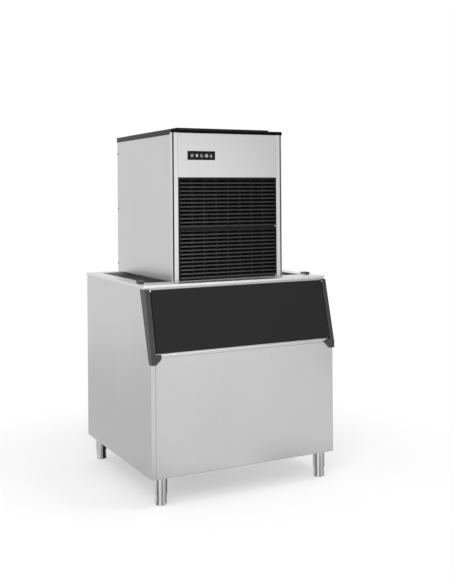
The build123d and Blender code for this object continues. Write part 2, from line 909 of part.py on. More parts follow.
def head_lid():
    """Black moulded lid: border, raised middle, and side flanges lapped over the side panels."""
    reach = side + lid_over
    y = (head_front - 1, head_back + 1)
    border_top = head_top + lid_border
    border = span(both(reach), y, (head_top, border_top))
    crown = span(
        both(reach - lid_inset),
        (y[0] + lid_inset, y[1] - lid_inset),
        (border_top, border_top + lid_crown),
    )
    border = fillet(border.faces().sort_by(Axis.Z)[-1].edges(), lid_border / 4)
    crown = fillet(crown.edges().filter_by(Axis.Z), lid_crown)
    crown = fillet(crown.faces().sort_by(Axis.Z)[-1].edges(), lid_crown / 3)
    lid = border + crown
    edge = lid_wall + lid_edge
    lid -= span(both(reach - edge), (y[0] + edge, y[1] - edge), (head_top - through, border_top - lid_wall))
    deep = lid_inset + lid_wall
    lid -= span(both(reach - deep), (y[0] + deep, y[1] - deep), (head_top, border_top + lid_crown - lid_wall))
    for hand in (-1, 1):
        x = sorted((hand * (side + lid_play), hand * reach))
        lid += span(x, (head_front + post_side + lid_edge, y[1]), (head_top - lid_lap, head_top + 1))
    return lid


def gear_motor():
    """Gear case under the freezing column with its upright motor alongside."""
    case = pillar(case_radius, column_x, column_y, (works_floor, motor_top - collar_height))
    case = fillet(case.edges().sort_by(Axis.Z)[-1], case_radius / 7)
    case += pillar(collar_radius, column_x, column_y, (motor_top - collar_height - 1, motor_top))
    motor_y = column_y + motor_step
    can_radius, can_length = motor_can
    can_low = works_floor + motor_lift
    can = pillar(can_radius, column_x, motor_y, (can_low, can_low + can_length))
    can = fillet(can.edges().sort_by(Axis.Z)[-1], can_radius / 4)
    wide, tall = bridge_size
    bridge_x = (column_x - wide / 2, column_x + wide / 2)
    bridge = span(bridge_x, (column_y, motor_y), (works_floor, works_floor + tall))
    body = case + can + bridge
    return body - pillar(
        shaft_radius + shaft_play, column_x, column_y, (works_floor + shaft_start, motor_top + through)
    )


def freezer_barrel():
    """Stainless freezing cylinder with a floor that seats on the gear case."""
    body = pillar(barrel_outside, column_x, column_y, (motor_top, barrel_top))
    body -= pillar(barrel_radius, column_x, column_y, (motor_top + barrel_floor, barrel_top + through))
    shaft_z = (motor_top - through, motor_top + barrel_floor + through)
    return body - pillar(shaft_radius + shaft_play, column_x, column_y, shaft_z)


def freezer_jacket():
    """Insulating jacket round the freezing cylinder and its coil."""
    z = (motor_top + jacket_ends[0], barrel_top - jacket_ends[1])
    body = pillar(jacket_radius, column_x, column_y, z)
    body = chamfer(body.edges(), jacket_wall / 4)
    return body - pillar(barrel_outside, column_x, column_y, (z[0] - through, z[1] + through))


def auger():
    """Screw that scrapes the ice off the barrel and lifts it into the extruder."""
    low = works_floor + shaft_start
    core = (motor_top + auger_ends[0], barrel_top - auger_ends[1])
    root, tip = auger_blade[0] / 2, auger_blade[1] / 2
    body = pillar(shaft_radius, column_x, column_y, (low, core[0]))
    body += pillar(auger_core, column_x, column_y, core)
    reach = barrel_radius - auger_air - auger_core + 1
    path = Helix(pitch=auger_pitch, height=core[1] - core[0] - 2 * auger_blade[0], radius=auger_core - 1)
    blade = make_face(Polyline((0, -root), (reach, -tip), (reach, tip), (0, root), close=True))
    across = Plane(origin=path @ 0, x_dir=(1, 0, 0), z_dir=path % 0)
    screw = sweep(across * blade, path=path, is_frenet=True)
    return body + Pos(column_x, column_y, core[0] + auger_blade[0]) * screw


def extruder_head():
    """Nugget former on the barrel: a ring of slots that presses the ice, with its flange."""
    z = barrel_top
    flange_out, flange_thick = extruder_flange
    body = pillar(barrel_outside, column_x, column_y, (z, z + extruder_height))
    body += pillar(barrel_outside + flange_out, column_x, column_y, (z, z + flange_thick))
    hole = Pos(extruder_ring, 0) * SlotOverall(*extruder_slot)
    holes = [Rot(0, 0, 360 / extruder_slots * i) * hole for i in range(extruder_slots)]
    cutter = extrude(Sketch(children=holes), extruder_height + 2 * through)
    return body - Pos(column_x, column_y, z - through) * cutter


def outlet_hood():
    """Hood that turns the nuggets from the extruder over into the chute."""
    z = barrel_top + extruder_height
    w = outlet_wall
    x = (column_x - barrel_outside, column_x + barrel_outside)
    y = (chute_y - chute_size[1] / 2, column_y + barrel_outside)
    hood = span(x, y, (z, z + outlet_height))
    hood = fillet(hood.edges().filter_by(Axis.Z).sort_by(Axis.Y)[-2:], outlet_corner)
    hood = fillet(hood.faces().sort_by(Axis.Z)[-1].edges(), 2 * w)
    inside = span((x[0] + w, x[1] - w), (y[0] + w, y[1] - w), (z + w, z + outlet_height - w))
    hood -= fillet(inside.edges().filter_by(Axis.Z).sort_by(Axis.Y)[-2:], outlet_corner - w)
    floor_z = (z - through, z + w + 1)
    hood -= pillar(barrel_radius - barrel_wall, column_x, column_y, floor_z)
    return hood - chute_block(-chute_wall, *floor_z)


def ice_chute():
    """Square plastic duct from the hood down through the head's floor."""
    low, high = head_floor - chute_reach, barrel_top + extruder_height
    duct = chute_block(0, low, high)
    duct = fillet(duct.edges().filter_by(Axis.Z), chute_corner)
    hole = chute_block(-chute_wall, low - through, high + through)
    return duct - fillet(hole.edges().filter_by(Axis.Z), chute_corner - chute_wall)


def condenser():
    """Finned condenser: fin pack between end plates, with the hairpin bends of its tubes."""
    y = (head_front + pack_front, pack_back)
    x = (pack_x - pack_half, pack_x + pack_half)
    body = span(x, y, (pack_low, pack_high))
    groove_wide, groove_deep = fin_groove
    for i in range(fin_grooves):
        groove = x[0] + (x[1] - x[0]) * (i + 1) / (fin_grooves + 1)
        groove_x = (groove - groove_wide / 2, groove + groove_wide / 2)
        groove_z = (pack_low + groove_wide, pack_high - groove_wide)
        body -= span(groove_x, (y[0] - through, y[0] + groove_deep), groove_z)
    step = (pack_high - pack_low) / coil_rows
    yc = (y[0] + y[1]) / 2
    bend = (Rot(90, 0, 0) * Torus(step / 2, coil_tube)) & span((0, 2 * step), both(step), both(step))
    for i in range(coil_rows - 1):
        z = pack_low + step * (i + 1)
        if i % 2:
            body += Pos(x[1], yc, z) * bend
        else:
            body += Pos(x[0], yc, z) * mirror(bend, about=Plane.YZ)
    foot = span(x, y, (works_floor, pack_low))
    foot_x = (x[0] + foot_post, x[1] - foot_post)
    return body + (foot - span(foot_x, (y[0] - 1, y[1] + 1), (head_floor, pack_low - shroud_sheet)))


def fan_shroud():
    """Sheet shroud behind the condenser with the ring round the fan."""
    y = (pack_back, pack_back + shroud_depth)
    w = shroud_sheet
    opening = fan_radius + fan_air
    box = span((pack_x - pack_half, pack_x + pack_half), y, (pack_low, pack_high))
    inner = pack_half - w
    box -= span((pack_x - inner, pack_x + inner), (y[0] - 1, y[1] - w), (pack_low + w, pack_high - w))
    ring = rod(opening + w, (pack_x, y[1] - w, pack_z), (pack_x, y[1] + shroud_ring, pack_z))
    return box + ring - rod(opening, (pack_x, y[0], pack_z), (pack_x, y[1] + shroud_ring + through, pack_z))


def fan_plane_y():
    """Where the fan's hub begins."""
    return pack_back + shroud_depth - shroud_ring / 2


def fan():
    """Moulded fan: hub, shaft bore and swept, pitched blades."""
    y = fan_plane_y()
    hub_length = fan_width + 4
    hub = Cylinder(fan_hub, hub_length)
    root_plane = Plane(origin=(fan_hub - 3, 0, 0), x_dir=(0, 1, 0), z_dir=(1, 0, 0))
    tip_plane = Plane(origin=(fan_radius, 0, 0), x_dir=(0, 1, 0), z_dir=(1, 0, 0))
    tip_width, tip_thick = blade_tip
    root = root_plane * (Rot(0, 0, blade_pitch[0]) * Rectangle(*blade_root))
    tip_face = Rot(0, 0, blade_pitch[1]) * Rectangle(fan_radius * tip_width, tip_thick)
    tip = tip_plane * (Pos(blade_sweep, 0) * tip_face)
    blade = loft([root.faces()[0], tip.faces()[0]])
    wheel = hub
    for i in range(fan_blades):
        wheel += Rot(0, 0, 360 / fan_blades * i) * blade
    wheel -= Cylinder(fan_shaft + shaft_play, hub_length + 2 * through)
    return Pos(pack_x, y + hub_length / 2, pack_z) * Rot(90, 0, 0) * wheel


def fan_motor_body():
    """Fan motor on its three-armed bracket, fixed to the shroud's face."""
    radius, length = fan_motor
    wide, thick = arm_size
    y0 = fan_plane_y() + fan_width + wide / 2
    can = rod(radius, (pack_x, y0, pack_z), (pack_x, y0 + length, pack_z))
    can = fillet(can.edges().sort_by(Axis.Y)[-1], wide / 2)
    shaft = rod(fan_shaft, (pack_x, y0 - fan_width - 4, pack_z), (pack_x, y0, pack_z))
    body = can + shaft
    reach = fan_radius + fan_air + 10
    shroud_face = pack_back + shroud_depth
    arm_y = (y0 + 2 * thick, y0 + 3 * thick)
    for angle in (90, 210, 330):
        arm = span((radius - 4, reach), arm_y, both(wide / 2))
        arm += span((reach - thick, reach), (shroud_face, arm_y[1]), both(wide / 2))
        arm += span((reach - thick, reach + 10), (shroud_face, shroud_face + thick), both(wide / 2))
        body += Pos(pack_x, 0, pack_z) * (Rot(0, angle, 0) * arm)
    return body


def compressor_place():
    """Centre of the compressor on the tray."""
    side_room, rear_room = compressor_corner
    x = -side + side_room + compressor_radius + compressor_edge
    return (x, head_back - rear_room - compressor_radius)


def compressor_bolts():
    """Centres of the four holes in the compressor's plate."""
    x, y = compressor_place()
    reach_x, reach_y = compressor_feet
    return [(x + dx, y + dy) for dx in both(reach_x) for dy in both(reach_y)]


def compressor():
    """Welded compressor can on its footed plate."""
    x, y = compressor_place()
    low = works_floor + compressor_lift
    radius = compressor_radius
    can = pillar(radius, x, y, (low, low + compressor_height))
    can = fillet(can.edges().sort_by(Axis.Z)[-1], radius * 0.4)
    can = fillet(can.edges().sort_by(Axis.Z)[0], compressor_lift)
    band_up, band_wide, band_thick = compressor_band
    band = pillar(radius + band_thick, x, y, (low + band_up, low + band_up + band_wide))
    wide, deep = (reach + compressor_edge for reach in compressor_feet)
    plate = span((x - wide, x + wide), (y - deep, y + deep), (low - 2, low + 4))
    plate = fillet(plate.edges().filter_by(Axis.Z), compressor_edge)
    for place in compressor_bolts():
        plate -= pillar(mount_sizes[2] + sheet_gap, *place, (low - through, low + through))
    return can + band + plate


def compressor_mounts():
    """Four rubber grommets between the compressor's plate and the tray."""
    foot_r, foot_h, neck_r, neck_h = mount_sizes
    top = works_floor + foot_h
    group = []
    for place in compressor_bolts():
        foot = pillar(foot_r, *place, (works_floor, top))
        group.append(foot + pillar(neck_r, *place, (top, top + neck_h)))
    return Compound(children=group)


def drier_place():
    """Upright axis of the liquid pipe's long run, which carries the drier."""
    return (pack_right - line_offset, column_y - barrel_floor - suction_radius * 2)


def lines():
    """Refrigerant pipes: discharge, liquid and suction."""
    cx, cy = compressor_place()
    can_top = works_floor + compressor_lift + compressor_height
    yc = (head_front + pack_front + pack_back) / 2
    inlet_x = pack_x - pack_half + 20
    discharge_x, suction_x = cx - line_offset, cx + line_offset
    over, cross_y = can_top + 60, pack_back + 130
    discharge = tube(
        line_radius,
        [
            (discharge_x, cy, can_top),
            (discharge_x, cy, over),
            (discharge_x, cross_y, over),
            (inlet_x, cross_y, pack_high + 30),
            (inlet_x, yc, pack_high + 30),
            (inlet_x, yc, pack_high),
        ],
        line_radius * 4,
    )
    high = can_top + 90
    suction = tube(
        suction_radius,
        [
            (suction_x, cy, can_top),
            (suction_x, cy, high),
            (suction_x, column_y, high),
            (column_x - jacket_radius, column_y, high),
        ],
        line_radius * 5,
    )
    drier_x, drier_y = drier_place()
    top, low = pack_high + 40, motor_top + 60
    jacket_x = column_x - math.sqrt(jacket_radius**2 - (column_y - drier_y - line_radius) ** 2)
    liquid = tube(
        line_radius,
        [
            (drier_x, yc, pack_high),
            (drier_x, yc, top),
            (drier_x, drier_y, top),
            (drier_x, drier_y, low),
            (jacket_x, drier_y, low),
        ],
        line_radius * 3.5,
    )
    return Compound(children=[discharge, suction, liquid])


def filter_drier():
    """Copper drier clipped on the liquid pipe."""
    x, y = drier_place()
    radius, length = drier_size
    z = (motor_top + 110, motor_top + 110 + length)
    body = chamfer(pillar(radius, x, y, z).edges(), radius * 0.4)
    return body - pillar(line_radius, x, y, (z[0] - through, z[1] + through))


def control_box():
    """Electrical box hung behind the plain face panel, with its cover."""
    left, room, drop = box_place
    wide, deep, tall = box_size
    w = box_wall
    x = (-side + left, -side + left + wide)
    y = (head_front + room, head_front + room + deep)
    z = (head_top - drop - tall, head_top - drop)
    box = span(x, y, z)
    box = fillet(box.edges().filter_by(Axis.Z), 2 * w)
    box -= span((x[0] + w, x[1] - w), (y[0] + w, y[1] - w), (z[0] + w, z[1] + through))
    cover = span((x[0] - 1, x[1] + 1), (y[0] - 1, y[1] + 1), (z[1], z[1] + w))
    bracket = span((-side + sheet, x[0] + 1), (y[0] + left, y[1] - left), (z[1] - left, z[1] - left + 2 * w))
    return box + cover + bracket


def tank_place():
    """Low corner of the water tank."""
    return (side - tank_side - tank_size[0], column_y + jacket_radius + 5, motor_top + tank_rise)


def float_pivot():
    """Pivot of the float arm inside the tank."""
    x, y, z = tank_place()
    wide, deep, tall = tank_size
    return (x + wide / 2, y + deep - 16, z + tall - 12)


def water_tank():
    """Open water tank beside the column, on a bracket from the side panel, with ears for the float."""
    x, y, z = tank_place()
    wide, deep, tall = tank_size
    w = tank_wall
    tank = span((x, x + wide), (y, y + deep), (z, z + tall))
    tank = fillet(tank.edges().filter_by(Axis.Z), tank_corner)
    tank -= span((x + w, x + wide - w), (y + w, y + deep - w), (z + w, z + tall + through))
    arm_end, arm_drop, arm_thick = tank_arm
    arm_z = z + tall - arm_drop
    tank += span((x + wide - 1, side - sheet), (y + arm_end, y + deep - arm_end), (arm_z, arm_z + arm_thick))
    px, py, pz = float_pivot()
    for ear_x in (px - ear_reach, px + ear_reach):
        ear = (ear_x - ear_sheet / 2, ear_x + ear_sheet / 2)
        tank += span(ear, (py - 6, y + deep - 1), (pz - 8, z + tall))
    bore = ear_reach + ear_sheet
    return tank - rod(float_pin_radius, (px - bore, py, pz), (px + bore, py, pz))


def float_pin():
    """Cross pin of the float arm."""
    x, y, z = float_pivot()
    reach = ear_reach + ear_sheet / 2
    return rod(float_pin_radius, (x - reach, y, z), (x + reach, y, z))


def float_arm():
    """Float on its arm, hanging at its low stop; it opens the water valve as the level falls."""
    eye_radius, eye_half, arm_half = 5, 6, 3
    eye = rod(eye_radius, (-eye_half, 0, 0), (eye_half, 0, 0))
    arm = span(both(arm_half), (-float_reach + float_radius / 3, 0), (-arm_half, 1))
    ball = Pos(0, -float_reach, -float_radius + 4) * Sphere(float_radius)
    bore = rod(float_pin_radius + shaft_play, (-eye_half - through, 0, 0), (eye_half + through, 0, 0))
    return Pos(*float_pivot()) * Rot(float_droop, 0, 0) * (eye + arm + ball - bore)


def port_fitting(name):
    """Threaded pipe end or cable gland on the head's rear panel."""
    x, up, bore = back_ports()[name]
    z = head_floor + up
    nut_out, outer_thick, inner_thick = port_nut
    y = (head_back - fitting_inside, head_back + fitting_reach)
    body = rod(bore + port_wall, (x, y[0], z), (x, y[1], z))
    nut = Pos(x, z) * RegularPolygon(bore + nut_out, 6)
    body += extrude(Plane.XZ.offset(-head_back) * nut, -outer_thick)
    body += extrude(Plane.XZ.offset(-head_back + sheet + inner_thick) * nut, -inner_thick)
    return body - rod(bore, (x, y[0] - through, z), (x, y[1] + through, z))


def screw(point, inward):
    """Pan-head screw: head outside point, shank along inward."""
    point, inward = Vector(*point), Vector(*inward)
    head = rod(screw_radius * 2, point, point - inward * screw_radius)
    head = chamfer(head.faces().sort_by(Axis(point, -inward))[-1].edges(), screw_radius * 0.4)
    return head + rod(screw_radius, point, point + inward * screw_length)


def panel_screws():
    """Screws of the head's side panels."""
    group = []
    for z in screw_heights():
        for hand in (-1, 1):
            group.append(screw((hand * side, head_back - screw_inset, z), (-hand, 0, 0)))
    return Compound(children=group)


def mirrored(shape):
    """The right-hand twin of a left-hand piece."""
    return mirror(shape, about=Plane.YZ)


def pair(shape):
    """A left-hand piece and its right-hand twin, kept as two solids of one node."""
    return Compound(children=[shape, mirrored(shape)])


grille_middle = head_floor + grille_height / 2
nodes = {
    "bin_side_panel_left": bin_side_panel(),
    "bin_side_panel_right": mirrored(bin_side_panel()),
    "bin_front_panel": bin_front_panel(),
    "bin_back_panel": bin_back_panel(),
    "bin_base": bin_base(),
    "bin_liner": bin_liner(),
    "bin_insulation": bin_insulation(),
    "bin_rim": bin_rim(),
    "front_header": front_header(),
    "door_surround": door_surround(),
    "knee_strip": knee_strip(),
    "door_skin": door_skin(),
    "door_insert": door_insert(),
    "door_gasket": door_gasket(),
    "door_trim_left": door_trim(),
    "door_trim_right": mirrored(door_trim()),
    "hinge_pins": pair(hinge_pin()),
    "guide_blocks": pair(guide_block()),
    "guide_clips": pair(guide_clip()),
    "bin_drain": bin_drain(),
    "head_tray": head_tray(),
    "corner_post_left": corner_post(),
    "corner_post_right": mirrored(corner_post()),
    "head_side_panel_left": head_side_panel(),
    "head_side_panel_right": mirrored(head_side_panel()),
    "head_back_panel": head_back_panel(),
    "head_face_panel": head_face_panel(),
    "display_glass": display_glass(),
    "display_board": display_board(),
    "grille_upper": grille_module(grille_middle + grille_split, head_floor + grille_height),
    "grille_lower": grille_module(works_floor + panel_play, grille_middle - grille_split),
    "head_lid": head_lid(),
    "gear_motor": gear_motor(),
    "freezer_barrel": freezer_barrel(),
    "freezer_jacket": freezer_jacket(),
    "auger": auger(),
    "extruder_head": extruder_head(),
    "outlet_hood": outlet_hood(),
    "ice_chute": ice_chute(),
    "condenser": condenser(),
    "fan_shroud": fan_shroud(),
    "fan": fan(),
    "fan_motor": fan_motor_body(),
    "compressor": compressor(),
    "compressor_mounts": compressor_mounts(),
    "refrigerant_lines": lines(),
    "filter_drier": filter_drier(),
    "control_box": control_box(),
    "water_tank": water_tank(),
    "float_arm": float_arm(),
    "float_pin": float_pin(),
    "panel_screws": panel_screws(),
}
for port in back_ports():
    nodes[port + "_port"] = port_fitting(port)
nodes["legs"] = Compound(children=[leg(*place) for place in leg_places().values()])
for corner, place in leg_places().items():
    nodes["foot_" + corner] = levelling_foot(*place)

for name, shape in nodes.items():
    export_step(shape, f"parts/{name}.step")
print(len(nodes), "nodes")
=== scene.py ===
# %% [markdown]
# # Nugget ice machine
# The machine is a box of works, the head, standing on an insulated bin. Its parts come ready made and at
# their real places, so this lesson is about the finish: how brushed steel, polished legs, moulded black
# plastic and a glass display are made to look real, and how the few small pieces that only the eye needs
# are worked out as surfaces.

# %% Load the parts
import json
import math

import bmesh
import bpy
import numpy as np
from mathutils import Matrix, Vector


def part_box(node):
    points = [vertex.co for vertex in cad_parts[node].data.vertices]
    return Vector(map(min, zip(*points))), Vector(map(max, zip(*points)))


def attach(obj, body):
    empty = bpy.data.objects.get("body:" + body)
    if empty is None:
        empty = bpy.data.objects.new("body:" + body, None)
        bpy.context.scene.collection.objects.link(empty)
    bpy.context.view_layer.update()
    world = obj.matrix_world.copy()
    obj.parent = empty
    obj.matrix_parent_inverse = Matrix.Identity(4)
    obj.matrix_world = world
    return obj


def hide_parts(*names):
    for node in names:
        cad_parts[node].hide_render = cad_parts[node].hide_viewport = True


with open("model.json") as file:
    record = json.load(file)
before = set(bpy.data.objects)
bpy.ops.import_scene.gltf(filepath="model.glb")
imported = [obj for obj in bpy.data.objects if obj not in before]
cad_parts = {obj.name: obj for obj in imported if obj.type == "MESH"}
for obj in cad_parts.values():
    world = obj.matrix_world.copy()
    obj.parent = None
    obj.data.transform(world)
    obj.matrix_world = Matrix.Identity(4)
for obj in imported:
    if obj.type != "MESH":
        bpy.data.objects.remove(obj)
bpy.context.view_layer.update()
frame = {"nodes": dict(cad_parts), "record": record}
parts = frame["nodes"]

# %% [markdown]
# ## Camera
# The picture to match was taken from a little below the top of the machine, from its left. The vertical
# edges stay parallel, which a tilted camera can't do, so the camera is level and its lens is shifted
# instead, as an architect's camera does. The focal length is in pixels of the picture, because that is
# how it was measured from the edges of the bin, and Blender wants it in millimetres of its film.

# %% Place the camera
picture_size = (452, 584)
film = 36.0
focal_pixels = 885.9
axis_pixel = (226.0, 192.7)
camera_place = Vector((-1.852, -3.828, 1.303))
yaw, pitch, roll = (math.radians(angle) for angle in (27.31, -0.08, -0.43))


def camera_frame(yaw, pitch, roll):
    """Right, up and forward: forward is +Y turned by yaw and pitch, and roll turns the others about it."""
    forward = Vector((math.sin(yaw) * math.cos(pitch), math.cos(yaw) * math.cos(pitch), -math.sin(pitch)))
    level = Vector((math.cos(yaw), -math.sin(yaw), 0))
    upright = level.cross(forward)
    right = level * math.cos(roll) + upright * math.sin(roll)
    up = upright * math.cos(roll) - level * math.sin(roll)
    return right, up, forward


right, up, forward = camera_frame(yaw, pitch, roll)
camera = bpy.data.objects.new("camera", bpy.data.cameras.new("camera"))
bpy.context.scene.collection.objects.link(camera)
camera_turn = Matrix((right, up, -forward)).transposed().to_4x4()
camera.matrix_world = Matrix.Translation(camera_place) @ camera_turn
camera.data.sensor_width = film
camera.data.lens = focal_pixels / picture_size[1] * film
camera.data.shift_x = (picture_size[0] / 2 - axis_pixel[0]) / picture_size[1]
camera.data.shift_y = (axis_pixel[1] - picture_size[1] / 2) / picture_size[1]
bpy.context.scene.camera = camera
print("lens", round(camera.data.lens, 1), "mm, shift", round(camera.data.shift_y, 3))

# %% [markdown]
# ## Shader sums
# A finish is a small sum: so much of one colour where a pattern is high, so much of another where it is
# low. Written with nodes and links such a sum can't be read any more. So one class wraps a socket, and
# plus, minus and times put the nodes there. Any other node comes from one function.

# %% Nodes from expressions


def plug(tree, value, socket):
    """A wrapped output is linked to the socket; a plain number or colour is written on it."""
    if isinstance(value, Output):
        tree.links.new(value.socket, socket)
    else:
        socket.default_value = value


def add_node(tree, kind, settings=None, inputs=None, output=0):
    """Any node: settings are made first, then its sockets take values or links."""
    node = tree.nodes.new("ShaderNode" + kind)
    for name, value in (settings or {}).items():
        setattr(node, name, value)
    for name, value in (inputs or {}).items():
        plug(tree, value, node.inputs[name])
    return Output(tree, node.outputs[output])


class Output:
    """One output of a node, with the sums that shader maths needs."""

    def __init__(self, tree, socket):
        self.tree = tree
        self.socket = socket

    def maths(self, operation, *values):
        """A Math node with an operation on outputs or numbers."""
        return add_node(self.tree, "Math", {"operation": operation}, dict(enumerate(values)))

    def __add__(self, other):
        return self.maths("ADD", self, other)

    def __sub__(self, other):
        return self.maths("SUBTRACT", self, other)

    def __rsub__(self, other):
        return self.maths("SUBTRACT", other, self)

    def __abs__(self):
        return self.maths("ABSOLUTE", self)

    def __mul__(self, other):
        return self.maths("MULTIPLY", self, other)

    def __truediv__(self, other):
        return self.maths("DIVIDE", self, other)

    def __gt__(self, other):
        return self.maths("GREATER_THAN", self, other)

    def __lt__(self, other):
        return self.maths("LESS_THAN", self, other)

    __radd__ = __add__


def seen_ray(tree):
    """1 for a ray from the camera, a glossy surface or glass, and 0 for one that gathers light."""
    path = add_node(tree, "LightPath", output="Is Camera Ray")
    mirrored = Output(tree, path.socket.node.outputs["Is Glossy Ray"])
    through_glass = Output(tree, path.socket.node.outputs["Is Transmission Ray"])
    return path.maths("MAXIMUM", path.maths("MAXIMUM", path, mirrored), through_glass)


# %% A finish under construction
socket_names = {
    "base_color": "Base Color",
    "metallic": "Metallic",
    "roughness": "Roughness",
    "normal": "Normal",
    "specular": "Specular IOR Level",
    "emission_color": "Emission Color",
    "emission": "Emission Strength",
}


def grey(value):
    """A neutral colour."""
    return (value, value, value)


class Finish:
    """One material: a principled shader, and methods that add patterns to it."""

    def __init__(self, name, **constants):
        self.material = bpy.data.materials.new(name)
        self.material.use_nodes = True
        self.tree = self.material.node_tree
        self.shader = self.tree.nodes["Principled BSDF"]
        self.place = self.node("TexCoord", output="Object")
        self.set(**constants)

    def node(self, kind, settings=None, inputs=None, output=0):
        """Any node, in this material."""
        return add_node(self.tree, kind, settings, inputs, output)

    def set(self, **sockets):
        """Writes or links the shader's own sockets; base_color stands for Base Color."""
        for name, value in sockets.items():
            if name.endswith("color") and not isinstance(value, Output):
                value = (*value, 1)
            plug(self.tree, value, self.shader.inputs[socket_names[name]])

    def stretched(self, stretch):
        """Object coordinates, squeezed along an axis by a larger number."""
        return self.node("VectorMath", {"operation": "MULTIPLY"}, {0: self.place, 1: stretch})

    def cloud(self, scale, stretch=(1, 1, 1), detail=2.0):
        """Soft noise from 0 to 1 whose patches are about 1/scale of a metre."""
        inputs = {"Vector": self.stretched(stretch), "Scale": scale, "Detail": detail}
        return self.node("TexNoise", None, inputs)

    def cells(self, scale, output="Color"):
        """Voronoi cells about 1/scale of a metre wide, each with its own random colour."""
        return self.node("TexVoronoi", None, {"Vector": self.place, "Scale": scale}, output)

    def along(self, axis):
        """The coordinate along X, Y or Z, in metres."""
        return self.node("SeparateXYZ", None, {0: self.place}, axis)

    def ramp(self, value, start, end, low=0.0, high=1.0):
        """Smooth step: low before start, high past end, and an S-shaped curve between."""
        ends = {"Value": value, "From Min": start, "From Max": end, "To Min": low, "To Max": high}
        return self.node("MapRange", {"interpolation_type": "SMOOTHSTEP"}, ends)

    def blend(self, mask, low, high):
        """Colour low where the mask is 0 and high where it is 1."""
        low, high = ((*c, 1) if isinstance(c, tuple) else c for c in (low, high))
        return self.node("Mix", {"data_type": "RGBA"}, {0: mask, 6: low, 7: high}, 2)

    def rough(self, *heights):
        """Bumps the surface by each pair of a height pattern and its depth in metres, one over another."""
        normal = None
        for pattern, depth in heights:
            inputs = {"Height": pattern, "Distance": depth, "Strength": 1.0}
            if normal is not None:
                inputs["Normal"] = normal
            normal = self.node("Bump", None, inputs)
        self.set(normal=normal)


# %% [markdown]
# ## Surfaces from numbers
# Every new shape is a grid: rows and columns of points worked out at once as whole arrays. One function
# turns such grids into a mesh. A surface that goes all the way round ends on the line that it started
# from, and a row may shrink to one point, as at the middle of a screw's head. Points that coincide are
# merged afterwards, so that no seam or slit is left, and then the faces can be turned outward.

# %% Grid to mesh
weld_distance = 1e-6


def grid_faces(rows, columns):
    """Corner numbers of each quad of a grid whose points are numbered row by row."""
    i, j = np.meshgrid(np.arange(rows - 1), np.arange(columns - 1), indexing="ij")
    first = i * columns + j
    return np.stack([first, first + 1, first + columns + 1, first + columns], axis=-1).reshape(-1, 4)


def grid_object(name, sheets):
    """Object from one or more grids of points in metres."""
    mesh = bpy.data.meshes.new(name)
    counts = [sheet.shape[0] * sheet.shape[1] for sheet in sheets]
    starts = np.cumsum([0] + counts[:-1])
    points = np.concatenate([sheet.reshape(-1, 3) for sheet in sheets])
    faces = np.concatenate([
        grid_faces(*sheet.shape[:2]) + start for sheet, start in zip(sheets, starts)
    ])
    mesh.from_pydata(points, [], faces.tolist())
    piece = bpy.data.objects.new(name, mesh)
    bpy.context.scene.collection.objects.link(piece)
    return piece


def close_seams(piece, sharp_angle):
    """Merges points that coincide, drops lone edges, turns faces outward and keeps sharp edges crisp."""
    shape = bmesh.new()
    shape.from_mesh(piece.data)
    bmesh.ops.remove_doubles(shape, verts=shape.verts, dist=weld_distance)
    loose = [edge for edge in shape.edges if edge.is_wire]
    bmesh.ops.delete(shape, geom=loose, context="EDGES")
    bmesh.ops.recalc_face_normals(shape, faces=shape.faces)
    open_edges = sum(not edge.is_manifold for edge in shape.edges)
    shape.to_mesh(piece.data)
    shape.free()
    piece.data.shade_smooth()
    piece.data.set_sharp_from_angle(angle=math.radians(sharp_angle))
    return open_edges


def make_piece(name, sheets, body, finish, sharp_angle=35):
    """Closed piece of the machine that rides on a body, with its finish."""
    piece = grid_object(name, sheets)
    open_edges = close_seams(piece, sharp_angle)
    piece.data.materials.append(finish)
    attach(piece, body)
    print(name, len(piece.data.polygons), "faces,", open_edges, "open edges")
    return piece


def flat_grid(x, y, z):
    """Grid of points at every pair of x and y, at one height."""
    across, along = np.meshgrid(np.asarray(x, float), np.asarray(y, float), indexing="xy")
    return np.stack([across, along, np.full_like(across, z)], axis=-1)


# %% [markdown]
# ## Studio
# A white sweep, a broad soft lamp from the left and a smaller one overhead. Steel shows what stands round
# it more than it shows its own colour, so the room is part of the finish: sky and floor are white where
# the camera and the metal see them, and a little darker as sources of light, so that a colour renders
# about as it is written. Close to the machine about half of the floor's tone comes from the lamps, which
# keeps its shadow.

# %% Sky
sky_seen = 1.0
sky_light = 0.75

world = bpy.data.worlds.new("studio")
bpy.context.scene.world = world
world.use_nodes = True
sky = world.node_tree
background = sky.nodes["Background"]
background.inputs["Color"].default_value = (*grey(1.0), 1)
plug(sky, sky_light + seen_ray(sky) * (sky_seen - sky_light), background.inputs["Strength"])
bpy.context.scene.view_settings.view_transform = "Standard"
print("sky:", sky_seen, "where it is seen,", sky_light, "as light")

# %% Lamps
middle = (0.0, 0.0, 0.8)


def soft_lamp(name, place, target, size, power):
    """Square lamp at place, turned to target."""
    lamp = bpy.data.lights.new(name, "AREA")
    lamp.shape = "SQUARE"
    lamp.size = size
    lamp.energy = power
    holder = bpy.data.objects.new(name, lamp)
    bpy.context.scene.collection.objects.link(holder)
    holder.location = place
    holder.rotation_euler = (Vector(target) - Vector(place)).to_track_quat("-Z", "Y").to_euler()
    holder.visible_camera = False
    return holder


key_lamp = soft_lamp("key_lamp", (-2.4, -3.2, 3.4), middle, size=2.4, power=80)
top_lamp = soft_lamp("top_lamp", (0.9, -1.1, 4.1), middle, size=0.9, power=28)
print("lamps:", key_lamp.data.energy, "W and", top_lamp.data.energy, "W")

# %% Floor
floor_half = 40.0
floor_drop = 0.0005
glow_near, glow_far = 0.6, 1.6
near_share = 0.45

floor_ends = (-floor_half, floor_half)
floor = grid_object("floor", [flat_grid(floor_ends, floor_ends, -floor_drop)])


